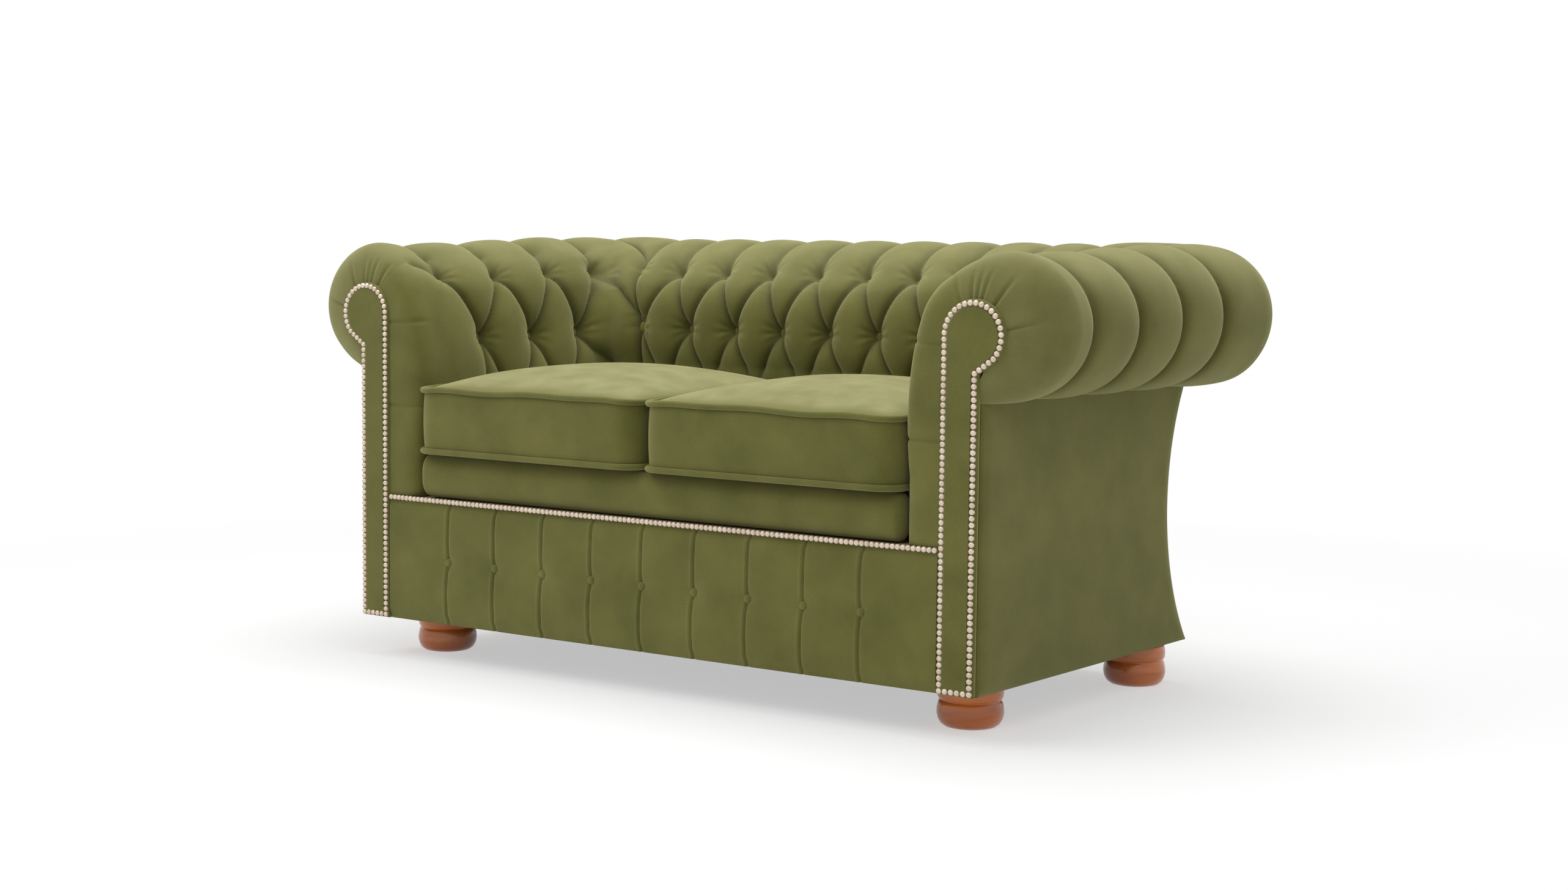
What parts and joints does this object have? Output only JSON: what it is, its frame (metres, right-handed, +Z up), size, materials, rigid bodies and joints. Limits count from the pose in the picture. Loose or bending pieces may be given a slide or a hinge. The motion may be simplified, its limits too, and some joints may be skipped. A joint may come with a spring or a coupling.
{
  "type": "chesterfield sofa bed",
  "caption": "Low chesterfield sofa bed with rolled buttoned arms and back, loose seat cushions, bun feet and a fold-out bed inside the base.",
  "frame": {"origin": "on the floor, at the middle of the sofa's plan", "axes": "+X along the seat to the right arm as seen from the front, +Y to the back, +Z up"},
  "size_m": [1.5902, 0.85, 0.7686],
  "materials": {
    "velvet": "olive green velvet",
    "timber": "planed frame timber",
    "turned_wood": "turned, stained and lacquered",
    "slat_wood": "bent plywood",
    "steel": "grey powder coat",
    "ticking": "woven mattress ticking",
    "dust_cloth": "black non-woven cloth"
  },
  "bodies": {
    "sofa": {"arm_tuft_buttons": "velvet", "back_pad": "velvet", "back_top_rail": "timber", "back_tuft_buttons": "velvet", "base_cloth": "dust_cloth", "front_left_foot": "turned_wood", "front_panel": "velvet", "front_panel_buttons": "velvet", "front_rail": "timber", "front_right_foot": "turned_wood", "left_arm_bottom_rail": "timber", "left_arm_facing": "velvet", "left_arm_front_border": "velvet", "left_arm_front_post": "timber", "left_arm_pad": "velvet", "left_arm_rear_post": "timber", "left_arm_top_rail": "timber", "left_mechanism_plate": "steel", "left_outer_arm_panel": "velvet", "left_side_rail": "timber", "outer_back_panel": "velvet", "rear_left_foot": "turned_wood", "rear_rail": "timber", "rear_right_foot": "turned_wood", "right_arm_bottom_rail": "timber", "right_arm_facing": "velvet", "right_arm_front_border": "velvet", "right_arm_front_post": "timber", "right_arm_pad": "velvet", "right_arm_rear_post": "timber", "right_arm_top_rail": "timber", "right_mechanism_plate": "steel", "right_outer_arm_panel": "velvet", "right_side_rail": "timber"},
    "left_front_lift_arm": {"left_front_lift_arm": "steel"},
    "right_front_lift_arm": {"right_front_lift_arm": "steel"},
    "left_rear_lift_arm": {"left_rear_lift_arm": "steel"},
    "right_rear_lift_arm": {"right_rear_lift_arm": "steel"},
    "head_section": {"head_side_tubes": "steel", "head_cross_tubes": "steel", "head_slats": "slat_wood", "head_mattress": "ticking", "head_brackets": "steel"},
    "middle_section": {"middle_side_tubes": "steel", "middle_cross_tubes": "steel", "middle_slats": "slat_wood", "middle_mattress": "ticking", "middle_hinge_ears": "steel", "middle_leg_rod": "steel"},
    "foot_section": {"foot_side_tubes": "steel", "foot_cross_tubes": "steel", "foot_slats": "slat_wood", "foot_mattress": "ticking", "foot_hinge_ears": "steel", "foot_leg_rod": "steel", "front_lip": "velvet"},
    "middle_legs": {"middle_legs": "steel"},
    "foot_legs": {"foot_legs": "steel"},
    "left_cushion": {"left_seat_cushion": "velvet"},
    "right_cushion": {"right_seat_cushion": "velvet"}
  },
  "joints": [
    {"name": "left_front_lift", "type": "hinge", "parent": "sofa", "child": "left_front_lift_arm", "pos_m": [0, -0.22, 0.2], "axis": [1, 0, 0], "range_deg": [0, 38.72]},
    {"name": "right_front_lift", "type": "hinge", "parent": "sofa", "child": "right_front_lift_arm", "pos_m": [0, -0.22, 0.2], "axis": [1, 0, 0], "range_deg": [0, 38.72]},
    {"name": "left_rear_lift", "type": "hinge", "parent": "sofa", "child": "left_rear_lift_arm", "pos_m": [0, -0.125, 0.28], "axis": [1, 0, 0], "range_deg": [0, 38.72]},
    {"name": "right_rear_lift", "type": "hinge", "parent": "sofa", "child": "right_rear_lift_arm", "pos_m": [0, -0.125, 0.28], "axis": [1, 0, 0], "range_deg": [0, 38.72]},
    {"name": "head_level", "type": "hinge", "parent": "left_front_lift_arm", "child": "head_section", "pos_m": [0, 0.06496, 0.1], "axis": [1, 0, 0], "range_deg": [-38.72, 0]},
    {"name": "bed_unfold", "type": "hinge", "parent": "head_section", "child": "middle_section", "pos_m": [0, -0.353, 0.195], "axis": [1, 0, 0], "range_deg": [0, 180]},
    {"name": "foot_unfold", "type": "hinge", "parent": "middle_section", "child": "foot_section", "pos_m": [0, 0.151, 0.288], "axis": [1, 0, 0], "range_deg": [-180, 0]},
    {"name": "middle_leg_fold", "type": "hinge", "parent": "middle_section", "child": "middle_legs", "pos_m": [0, 0.09, 0.277], "axis": [1, 0, 0], "range_deg": [-90, 0]},
    {"name": "foot_leg_fold", "type": "hinge", "parent": "foot_section", "child": "foot_legs", "pos_m": [0, 0.037, 0.299], "axis": [1, 0, 0], "range_deg": [0, 70]},
    {"name": "left_cushion_lift", "type": "slide", "parent": "foot_section", "child": "left_cushion", "axis": [0, -0.2588, 0.9659], "range_m": [0, 0.25]},
    {"name": "right_cushion_lift", "type": "slide", "parent": "foot_section", "child": "right_cushion", "axis": [0, -0.2588, 0.9659], "range_m": [0, 0.25]}
  ],
  "couplings": [
    {"joint": "left_front_lift", "follows": "bed_unfold", "ratio": 0.21486},
    {"joint": "right_front_lift", "follows": "bed_unfold", "ratio": 0.21486},
    {"joint": "left_rear_lift", "follows": "bed_unfold", "ratio": 0.21486},
    {"joint": "right_rear_lift", "follows": "bed_unfold", "ratio": 0.21486},
    {"joint": "head_level", "follows": "bed_unfold", "ratio": -0.21486},
    {"joint": "foot_unfold", "follows": "bed_unfold", "ratio": -1},
    {"joint": "middle_leg_fold", "follows": "bed_unfold", "ratio": -0.5},
    {"joint": "foot_leg_fold", "follows": "bed_unfold", "ratio": 0.38889}
  ]
}
